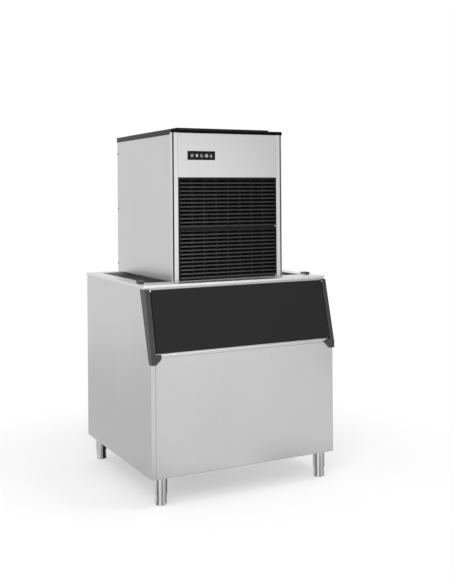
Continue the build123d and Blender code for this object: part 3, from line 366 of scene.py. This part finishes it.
def white_sweep():
    """White floor that glows where it is looked at: fully far out, and by a share close to the machine."""
    finish = Finish("floor", base_color=grey(0.94), specular=0.1, roughness=0.8)
    distance = finish.node("VectorMath", {"operation": "LENGTH"}, {0: finish.place}, "Value")
    share = seen_ray(finish.tree) * finish.ramp(distance, glow_near, glow_far, near_share, 1.0)
    glow = finish.node("Emission", None, {"Color": (*grey(1.0), 1), "Strength": 1.0})
    lit = Output(finish.tree, finish.shader.outputs[0])
    mixed = finish.node("MixShader", None, {0: share, 1: lit, 2: glow})
    plug(finish.tree, mixed, finish.tree.nodes["Material Output"].inputs["Surface"])
    return finish.material


floor.data.materials.append(white_sweep())
print("floor:", 2 * floor_half, "m square")

# %% [markdown]
# ## Cards
# A photographer puts grey and black cards round bright metal, because steel in an all-white room has no
# form. A grey card to the right shades the right side of the front, a bright one beside it puts the sheen
# on its left side, a high dark one keeps the lid black, and a grey sheet on the floor tones the left
# side. The legs are low, so they mirror the floor: grey fans lie round the three legs that the camera
# sees and draw the dark upright lines on the polished tubes. The darkest fans lie under the bin, because
# one beside it would show as a dark patch in the side panel. Only mirrored rays see the cards. They give
# no light and no shadow.

# %% Cards for the steel
leg_side, leg_front, leg_rear = 0.395, -0.3875, 0.3565
fan_reach = (0.03, 0.43)
fan_height = 0.0
fan_steps = 9


def card(name, sheet, tone):
    """Flat stage piece of an even grey that only mirrors see."""
    prop = grid_object(name, [sheet])
    finish = Finish(name, base_color=grey(0.0), specular=0.0, emission_color=grey(tone), emission=1.0)
    prop.data.materials.append(finish.material)
    for ray in ("camera", "diffuse", "transmission", "volume_scatter", "shadow"):
        setattr(prop, "visible_" + ray, False)


def upright_sheet(azimuth, distance, half_width, heights):
    """Upright rectangle facing the machine from an azimuth, in degrees to the right of its front."""
    turn = math.radians(azimuth)
    centre = np.array([math.sin(turn), -math.cos(turn)]) * distance
    beside = np.array([math.cos(turn), math.sin(turn)]) * half_width
    ends = np.stack([centre - beside, centre + beside])
    plan = np.broadcast_to(ends[None], (2, 2, 2))
    rise = np.broadcast_to(np.array(heights)[:, None, None], (2, 2, 1))
    return np.concatenate([plan, rise], axis=-1)


def fan_sheet(x, y, start, end):
    """Part of a disc on the floor: radius by angle round a leg, where angle 0 points to the camera."""
    to_camera = math.atan2(camera_place.y - y, camera_place.x - x)
    angle, reach = np.meshgrid(
        to_camera + np.radians(np.linspace(start, end, fan_steps)),
        np.array(fan_reach),
        indexing="xy",
    )
    height = np.full_like(angle, fan_height)
    return np.stack([x + reach * np.cos(angle), y + reach * np.sin(angle), height], axis=-1)


card_sheets = {
    "side_card": (upright_sheet(azimuth=60, distance=3.6, half_width=1.5, heights=(0.0, 3.2)), 0.42),
    "high_card": (upright_sheet(azimuth=30, distance=4.4, half_width=1.7, heights=(2.6, 4.5)), 0.02),
    "bright_card": (upright_sheet(azimuth=16, distance=3.8, half_width=0.85, heights=(0.35, 1.95)), 1.75),
    "floor_card": (flat_grid(x=(-2.4, -0.5), y=(-0.2, 3.4), z=0.0), 0.76),
}
for name, (sheet, tone) in card_sheets.items():
    card(name, sheet, tone)

# A fan is its first and last angle, in degrees, and its tone.
front_fans = ((-74, -32, 0.24), (8, 40, 0.42), (40, 74, 0.75), (74, 112, 0.45))
hidden_fan = (112, 180, 0.10)
open_fan = (112, 180, 0.60)
rear_fans = ((-20, 22, 0.4), (22, 100, 0.02))
fans_of_leg = {
    "front_left": (-leg_side, leg_front, (*front_fans, hidden_fan)),
    "front_right": (leg_side, leg_front, (*front_fans, open_fan)),
    "rear_left": (-leg_side, leg_rear, rear_fans),
}
for leg, (x, y, fans) in fans_of_leg.items():
    for number, (start, end, tone) in enumerate(fans):
        card(f"fan_{leg}_{number}", fan_sheet(x, y, start, end), tone)
print("cards:", len(card_sheets) + sum(len(fans) for _, _, fans in fans_of_leg.values()))

# %% [markdown]
# ## Steel
# The panels are brushed: a belt has drawn fine upright scratches, which spread every reflection sideways
# into a soft sheen. Three patterns make that. Hair-fine lines bump the surface, streaks a centimetre or
# two wide vary how much of the sheen comes back, and very soft clouds keep a large sheet from looking
# like paint. All are noise on the object's own coordinates. The lines and the streaks are squeezed in X
# and Y, so that they run upright.
# The rim, the header and the knee strip get a lighter copy of the same steel, a painted sheen for the
# light that they catch.

# %% Brushed stainless steel
hair_squeeze = (2600, 2600, 9)
streak_squeeze = (60, 60, 1.2)
hair_depth = 0.000006
ripple_depth = 0.0004


def brushed_steel(name, low, high):
    """Stainless sheet with an upright brushed grain."""
    finish = Finish(name, metallic=1.0)
    hairs = finish.cloud(1.0, hair_squeeze, 1.0)
    streaks = finish.cloud(1.0, streak_squeeze, 2.0)
    clouds = finish.cloud(2.2, detail=1.0)
    tone = streaks * 0.15 + clouds * 0.65 + hairs * 0.2
    finish.set(base_color=finish.blend(tone, grey(low), grey(high)), roughness=0.30 + hairs * 0.10)
    finish.rough((hairs, hair_depth), (clouds, ripple_depth))
    return finish.material


# %% Polished steel
lathe_squeeze = (4, 4, 1500)


def polished_steel():
    """Turned and polished stainless: bright, with faint rings from the lathe and finger-soft haze."""
    finish = Finish("polished", metallic=1.0)
    rings = finish.cloud(1.0, lathe_squeeze, 1.0)
    haze = finish.cloud(14.0)
    finish.set(base_color=finish.blend(haze, grey(0.58), grey(0.68)), roughness=0.12 + haze * 0.08)
    finish.rough((rings, 0.000004))
    return finish.material


# %% Galvanised sheet
def zinc_sheet():
    """Hot-dipped zinc: crystals almost a centimetre wide, each a slightly different grey."""
    finish = Finish("galvanised", metallic=0.85)
    crystals = finish.node("SeparateColor", None, {0: finish.cells(110.0)}, 0)
    dull = finish.cloud(9.0)
    finish.set(
        base_color=finish.blend(crystals * 0.6 + dull * 0.4, grey(0.42), grey(0.62)),
        roughness=0.38 + crystals * 0.2,
    )
    return finish.material


# %% [markdown]
# ## Corner posts
# Each front corner is one extruded bar: a rounded nose, a groove and a flat front strip. Little light
# leaves the groove, so it is made dark. On the modelled bar it is too narrow to be seen from the camera,
# so the nose's flank beside it is made dark too, although the real flank is bright. One mask does both,
# from the place across the post, counted from the outer side of the head inward.

# %% Anodised aluminium
groove_share = (5.0 / 30.0, 9.5 / 30.0)
flank_share = (0.09, 0.02)
lip_share = 0.01
die_squeeze = (900, 900, 2)
post_low, post_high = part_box("corner_post_left")
post_width = post_high.x - post_low.x


def anodised_aluminium():
    """Extruded corner posts: satin, with faint upright lines from the die, and painted shade in the groove
    and on the nose's flank beside it.
    """
    finish = Finish("aluminium", metallic=0.9)
    lines = finish.cloud(1.0, die_squeeze, 1.0)
    across = (-post_low.x - abs(finish.along("X"))) / post_width
    # Painted shade: dark in the groove, and on the nose's flank beside it, which is really bright.
    flank = finish.ramp(across, groove_share[0] - flank_share[0], groove_share[0] - flank_share[1])
    groove_and_flank_shade = flank * (across < groove_share[1] + lip_share)
    tone = finish.blend(lines, grey(0.56), grey(0.64))
    finish.set(base_color=finish.blend(groove_and_flank_shade, tone, grey(0.03)), roughness=0.32 + lines * 0.08)
    finish.rough((lines, 0.000008))
    return finish.material


# %% [markdown]
# ## Condenser
# The condenser is one part here, but two metals: thin fins packed side by side, and copper pipe that
# turns back at each end of the pack. The pipe shows only past the ends of the fins, so a mask on X tells
# the two apart. The fins are a stripe pattern: bright edges, with painted shade in the gaps between them.

# %% Fins and copper
fin_pitch = 0.0026
gap_share = 0.45
end_margin = 0.0002
pack_low, pack_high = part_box("fan_shroud")


def fin_pack():
    """Bright fin edges over painted shade in the gaps, and copper where the hairpins stand out at both
    ends.
    """
    finish = Finish("fins", metallic=0.9)
    x = finish.along("X")
    wave = x.maths("PINGPONG", x, fin_pitch / 2) / (fin_pitch / 2)
    # Painted shade: the gaps between the fins are dark, and the fin edges are bright.
    fins = finish.blend(wave > gap_share, grey(0.10), grey(0.62))
    outside = (x < pack_low.x - end_margin) + (x > pack_high.x + end_margin)
    finish.set(
        base_color=finish.blend(outside, fins, (0.72, 0.43, 0.30)),
        roughness=0.42 - outside * 0.1,
    )
    return finish.material


def pipe_copper():
    """Drawn copper with brown patches where it was warmed."""
    finish = Finish("copper", metallic=1.0)
    tarnish = finish.cloud(22.0, detail=4.0)
    finish.set(
        base_color=finish.blend(tarnish, (0.78, 0.42, 0.28), (0.50, 0.24, 0.15)),
        roughness=0.22 + tarnish * 0.25,
    )
    return finish.material


def turned_brass():
    """Turned brass: yellow, with fine rings and a little dulling."""
    finish = Finish("brass", metallic=1.0)
    dull = finish.cloud(40.0, detail=3.0)
    finish.set(
        base_color=finish.blend(dull, (0.80, 0.64, 0.34), (0.62, 0.49, 0.26)),
        roughness=0.20 + dull * 0.25,
    )
    finish.rough((finish.cloud(1.0, (3, 1400, 3), 1.0), 0.000006))
    return finish.material


# %% [markdown]
# ## Paint and mouldings
# The black parts are different blacks. The door is smooth and satin, the trims and the lid have the fine
# pebble of a textured mould, the grille is smoother so that each louvre catches a line of light, and the
# display is glass. A black moulding's pebble is noise under a millimetre wide; enamel has the slow ripple
# of a wet coat that has dried, which is the same noise made four millimetres wide. The lid and the
# grille's frame are plastic too, but here the shader is told that they are a metal of almost no colour.
# That only takes away their shine, and a lower specular level would be truer to what they are made of.

# %% Mouldings
grille_border = 0.009
grille_band = 0.0095
grille_metallic = 0.75
grille_low, grille_high = zip(*(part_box(node) for node in ("grille_lower", "grille_upper")))
grille_bottom, grille_top = grille_low[0].z, grille_high[1].z
grille_side = grille_high[0].x


def moulding(name, low, high, roughness, specular, pebble, depth, metallic=0.0):
    """Even surface, moulded or blackened: two close colours in soft patches, and a fine pebble."""
    finish = Finish(name, specular=specular, metallic=metallic)
    patches = finish.cloud(5.0)
    grain = finish.cloud(1.0 / pebble, detail=2.0)
    finish.set(base_color=finish.blend(patches, low, high), roughness=roughness + grain * 0.12)
    finish.rough((grain, depth))
    return finish.material


def grille_moulding():
    """Glossy black louvres in a duller frame, which is the border, the bands at both ends and between."""
    finish = Finish("black_grille", specular=0.5)
    grain = finish.cloud(1100.0)
    middle_z = (grille_bottom + grille_top) / 2
    half_high = (grille_top - grille_bottom) / 2
    height = abs(finish.along("Z") - middle_z)
    border = abs(finish.along("X")) > grille_side - grille_border
    bands = (height < grille_band) + (height > half_high - grille_band)
    frame_mask = border.maths("MINIMUM", border + bands, 1.0)
    finish.set(
        base_color=finish.blend(finish.cloud(5.0), grey(0.005), grey(0.008)),
        metallic=frame_mask * grille_metallic,
        roughness=0.20 + grain * 0.08 + frame_mask * 0.15,
    )
    finish.rough((grain, 0.00002))
    return finish.material


# %% Display
def display_glass():
    """Black glass with faint smears, so that its gloss isn't perfect."""
    finish = Finish("display", base_color=grey(0.004), specular=0.10)
    smears = finish.cloud(30.0, (1, 1, 4), 3.0)
    finish.set(roughness=0.06 + smears * 0.12)
    return finish.material


def lit_mark():
    """Diffuser of a touch field with a weak lamp behind it: pale grey with faint clouds."""
    finish = Finish("lit_mark", specular=0.2, roughness=0.5, emission=0.06)
    glow = finish.cloud(200.0)
    finish.set(base_color=finish.blend(glow, grey(0.36), grey(0.44)))
    finish.set(emission_color=finish.blend(glow, (0.90, 0.93, 0.96), (1.0, 1.0, 1.0)))
    return finish.material


# %% Board, casting and foam
track_share = 0.7


def circuit_board():
    """Green lacquer over copper tracks: a field of cells, some of which are track."""
    finish = Finish("board", specular=0.5, roughness=0.35)
    tracks = finish.node("SeparateColor", None, {0: finish.cells(260.0)}, 0) > track_share
    finish.set(base_color=finish.blend(tracks, (0.02, 0.14, 0.06), (0.05, 0.24, 0.10)))
    return finish.material


def cast_iron():
    """Grey enamel on a sand casting, whose grains show through as a coarse bump."""
    finish = Finish("cast", specular=0.4, roughness=0.5)
    sand = finish.cloud(900.0, detail=4.0)
    finish.set(base_color=finish.blend(finish.cloud(16.0), grey(0.20), grey(0.28)))
    finish.rough((sand, 0.00025))
    return finish.material


def rigid_foam():
    """Foamed-in insulation: pale yellow, with cells about two millimetres wide."""
    finish = Finish("foam", specular=0.2, roughness=0.9)
    bubbles = finish.cells(500.0, "Distance")
    finish.set(base_color=finish.blend(bubbles, (0.85, 0.78, 0.55), (0.70, 0.62, 0.40)))
    finish.rough((bubbles, 0.0004))
    return finish.material


# %% [markdown]
# ## Putting the finishes on
# Each part names its finish in the record, so one loop dresses them all, and only the rim, the header and
# the knee strip get a lighter copy of the steel, a painted sheen for the light they catch. A part's mesh
# isn't touched: only its material slots change.

# %% Dress every part
off_white = ((0.78, 0.78, 0.75), (0.83, 0.83, 0.80))

# A moulding is its dark and its light colour, its roughness, its specular level, and its pebble's width
# and depth in metres.
finishes = {
    "stainless": brushed_steel("stainless", 0.53, 0.61),
    "polished": polished_steel(),
    "galvanised": zinc_sheet(),
    "aluminium": anodised_aluminium(),
    "fins": fin_pack(),
    "copper": pipe_copper(),
    "brass": turned_brass(),
    "cast": cast_iron(),
    "black_paint": moulding("black_paint", grey(0.015), grey(0.025), 0.25, 0.5, 0.004, 0.00006),
    "black_door": moulding("black_door", grey(0.014), grey(0.016), 0.42, 0.13, 0.0006, 0.00002),
    "black_trim": moulding("black_trim", grey(0.018), grey(0.024), 0.36, 0.60, 0.0007, 0.00005),
    "black_grille": grille_moulding(),
    "black_lid": moulding("black_lid", grey(0.006), grey(0.009), 0.30, 0.5, 0.0008, 0.00003, metallic=1.0),
    "display": display_glass(),
    "board": circuit_board(),
    "liner": moulding("liner", grey(0.70), grey(0.75), 0.35, 0.4, 0.003, 0.00005),
    "white_plastic": moulding("white_plastic", *off_white, 0.4, 0.5, 0.002, 0.00004),
    "foam": rigid_foam(),
    "rubber": moulding("rubber", grey(0.015), grey(0.03), 0.6, 0.3, 0.0008, 0.0001),
}
# Lighter copy of the panels' steel: painted sheen for the rim, the header and the knee strip.
painted_sheen_steel = brushed_steel("painted_sheen_steel", 0.64, 0.72)
painted_sheen_parts = ("bin_rim", "front_header", "knee_strip")

for row in frame["record"]["subparts"]:
    node, slot = row["node"], row["material_slot"]
    mesh = parts[node].data
    mesh.materials.clear()
    mesh.materials.append(painted_sheen_steel if node in painted_sheen_parts else finishes[slot])

# %% [markdown]
# ## Display marks
# Five touch fields glow through the black window: a ring, a bucket, a broken ring, a ring with a slot and
# a drop. Each is a flat band between an inner and an outer outline, and an outline is a curve written as
# x and z of an angle. The band's section is a rectangle, so it is a grid of five rows that ends where it
# began. Where the inner outline has no size, the band is a filled shape.

# %% Outlines
corner_power = 0.3
drop_fullness = 1.4


def turn(start=0.0, end=360.0, count=49):
    """Even angles from start to end, given in degrees."""
    return np.radians(np.linspace(start, end, count))


def ellipse(width, height, angle):
    """x is half the width times the cosine, and z is half the height times the sine."""
    return np.stack([width / 2 * np.cos(angle), height / 2 * np.sin(angle)], axis=-1)


def bucket_outline(width, height, taper, angle):
    """Box with round corners, from sine and cosine to a small power, that widens by taper to the top."""
    x, z = (np.sign(w) * np.abs(w) ** corner_power for w in (np.cos(angle), np.sin(angle)))
    return np.stack([width / 2 * x * (1 + taper * z), height / 2 * z], axis=-1)


def drop_outline(width, height, angle):
    """An ellipse narrowed towards its top by the root of how far below the top the point lies."""
    x, z = np.cos(angle), np.sin(angle)
    return np.stack([width / 2 * x * np.sqrt((1 - z) / 2) * drop_fullness, height / 2 * z], axis=-1)


# %% Marks on the window
mark_proud = 0.00015
mark_seat = 0.00005
mark_drop = 0.0005
mark_places = (-0.1810, -0.1575, -0.1340, -0.1100, -0.0875)
window_low, window_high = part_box("display_glass")
mark_z = (window_low.z + window_high.z) / 2 - mark_drop


def cap(grid, column):
    """One more column with all its points at the middle of a column of the grid, which closes an end."""
    return np.repeat(grid[:-1, [column]].mean(axis=0, keepdims=True), len(grid), axis=0)


def mark(x, inner, outer):
    """Band between two outlines, whose rows go round its section; open ends are capped."""
    back, front = window_low.y + mark_seat, window_low.y - mark_proud
    lines = ((inner, back), (inner, front), (outer, front), (outer, back), (inner, back))
    grid = np.stack([
        np.stack([x + outline[:, 0], np.full(len(outline), y), mark_z + outline[:, 1]], axis=-1)
        for outline, y in lines
    ])
    if np.allclose(outer[0], outer[-1], atol=weld_distance):
        return grid
    return np.concatenate([cap(grid, 0), grid, cap(grid, -1)], axis=1)


whole = turn()
broken = turn(75, 375)

# A mark is its place, and the width and height of its inner and its outer outline.
mark_sheets = [
    mark(mark_places[0], ellipse(0.0082, 0.0082, whole), ellipse(0.0135, 0.0135, whole)),
    mark(mark_places[1], ellipse(0, 0, whole), bucket_outline(0.0100, 0.012, 0.16, whole)),
    mark(mark_places[2], ellipse(0.0085, 0.0085, broken), ellipse(0.0135, 0.0135, broken)),
    mark(mark_places[3], ellipse(0.0105, 0.0045, whole), ellipse(0.0155, 0.0145, whole)),
    mark(mark_places[4], drop_outline(0.0055, 0.0065, whole), drop_outline(0.0102, 0.0138, whole)),
]
make_piece("display_marks", mark_sheets, "cabinet", lit_mark())

# %% [markdown]
# ## Screws
# Six screws hold the side panels and two more hold the grille modules. A screw is a profile turned round
# its axis, which is a grid of profile points by angle. The cross for the driver is a height: it is
# taken off the head wherever the point lies in one of the two arms of the cross.

# %% A cross-head screw
screw_turn = turn(count=65)
dome_steps = 22
dome_share = 0.94
dome_fall = 0.35
edge_share = 0.45
cross_arm, cross_half_width, cross_depth = 0.58, 0.13, 0.55


def cross_recess(across, along, arm, half_width, depth):
    """Depth in either arm of a cross: full where both distances to the arm's edges are inward."""
    softness = half_width / 3

    def within(reach, distance):
        """1 nearer than reach and 0 beyond it, with a straight slope of one softness between."""
        return np.clip((reach - abs(distance)) / softness + 0.5, 0, 1)

    def inside(u, v):
        """The arm along u: near enough to its middle line in v, and to its middle in u."""
        return within(half_width, v) * within(arm, u)

    return depth * np.maximum(inside(across, along), inside(along, across))


def screw_sheet(head_radius, head_height, shank_radius, shank_length):
    """Domed head, whose height falls with the square of the radius, over a plain shank; outward is +Z."""
    dome = np.linspace(0, dome_share * head_radius, dome_steps)
    crown = head_height * (1 - dome_fall * (dome / head_radius) ** 2)
    edge = [(head_radius, edge_share * head_height), (head_radius, 0), (shank_radius, 0)]
    tip = [(shank_radius, -shank_length), (0, -shank_length)]
    profile = np.concatenate([np.stack([dome, crown], axis=-1), edge, tip])
    reach, angle = np.meshgrid(profile[:, 0], screw_turn, indexing="ij")
    across, along = reach * np.cos(angle), reach * np.sin(angle)
    height = np.repeat(profile[:, 1:], len(screw_turn), axis=1)
    arm, half_width = cross_arm * head_radius, cross_half_width * head_radius
    recess = cross_recess(across, along, arm, half_width, cross_depth * head_height)
    height[: len(dome)] -= recess[: len(dome)]
    return np.stack([across, along, height], axis=-1)


def set_out(sheet, place, outward):
    """The sheet moved to a place, with its Z along a level outward direction and its Y upright."""
    outward = np.array(outward, float)
    upright = np.array([0.0, 0.0, 1.0])
    axes = np.stack([np.cross(upright, outward), upright, outward])
    return sheet @ axes + np.array(place)


# %% Panel screws
screws_low, screws_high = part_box("panel_screws")
side_face = -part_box("head_side_panel_left")[0].x
screw_radius = (screws_high.y - screws_low.y) / 2
screw_proud = screws_high.x - side_face
screw_row = np.linspace(screws_low.z + screw_radius, screws_high.z - screw_radius, 3)
screw_y = (screws_low.y + screws_high.y) / 2
panel_screw = screw_sheet(screw_radius, screw_proud, screw_radius / 2, shank_length=0.007)
screw_sheets = [
    set_out(panel_screw, (hand * side_face, screw_y, z), (hand, 0, 0))
    for hand in (-1, 1)
    for z in screw_row
]
blackened = moulding("blackened_steel", grey(0.05), grey(0.08), 0.30, 0.5, 0.0006, 0.00001, metallic=1.0)
panel_screws = make_piece("cross_head_screws", screw_sheets, "cabinet", blackened)
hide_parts("panel_screws")

# %% Grille screws
grille_inset = (0.0062, 0.0056)
grille_screw = screw_sheet(head_radius=0.0032, head_height=0.0012, shank_radius=0.0014, shank_length=0.006)
grille_corners = [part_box(node) for node in ("grille_upper", "grille_lower")]
grille_sheets = [
    set_out(grille_screw, (high.x - grille_inset[0], low.y, low.z + grille_inset[1]), (0, -1, 0))
    for low, high in grille_corners
]
make_piece("grille_screws", grille_sheets, "cabinet", finishes["polished"])

# %% [markdown]
# ## Threads
# The water inlet and both drains end in pipe thread. A thread is a tube whose radius goes up and down
# along its length, and the wave is shifted by one pitch for each turn round the pipe, so that it climbs.
# It fades in and out at both ends, as a cut thread does.

# %% Threaded sleeves
thread_pitch = 0.0018
thread_depth = 0.0009
thread_steps = 8
rim_margin = 0.0004
root_gap = 0.00005
sleeve_wall = 0.001
pipe_radius = 0.013
nut_thickness = 0.0091
collar_back = 0.4015


def thread_sheet(x, z, start, end, root, bore):
    """Tube along Y: its radius is the root plus a triangle wave of length over pitch and share of turn."""
    count = int((end - start) / thread_pitch * thread_steps)
    length, angle = np.meshgrid(np.linspace(start, end, count), turn(), indexing="ij")
    phase = (length / thread_pitch + angle / (2 * np.pi)) % 1
    fade = np.clip(np.minimum(length - start, end - length) / thread_pitch, 0, 1)
    radius = root + thread_depth * (1 - np.abs(2 * phase - 1)) * fade
    inside = np.full((1, radius.shape[1]), bore)
    radius = np.concatenate([inside, radius, inside, inside])
    length = np.concatenate([length[:1], length, length[-1:], length[:1]])
    angle = np.concatenate([angle[:1], angle, angle[-1:], angle[:1]])
    return np.stack([x + radius * np.cos(angle), length, z + radius * np.sin(angle)], axis=-1)


def pipe_thread(name, node, nut, slot):
    """Thread round the free end of a port's pipe, from its nut to just short of its rim."""
    low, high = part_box(node)
    x, z = (low.x + high.x) / 2, (low.z + high.z) / 2
    sheet = thread_sheet(x, z, nut, high.y - rim_margin, pipe_radius + root_gap, pipe_radius - sleeve_wall)
    make_piece(name, [sheet], "cabinet", finishes[slot], sharp_angle=60)


head_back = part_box("head_back_panel")[1].y
pipe_thread("water_thread", "water_port", head_back + nut_thickness, "brass")
pipe_thread("drain_thread", "drain_port", head_back + nut_thickness, "brass")
pipe_thread("bin_drain_thread", "bin_drain", collar_back, "white_plastic")
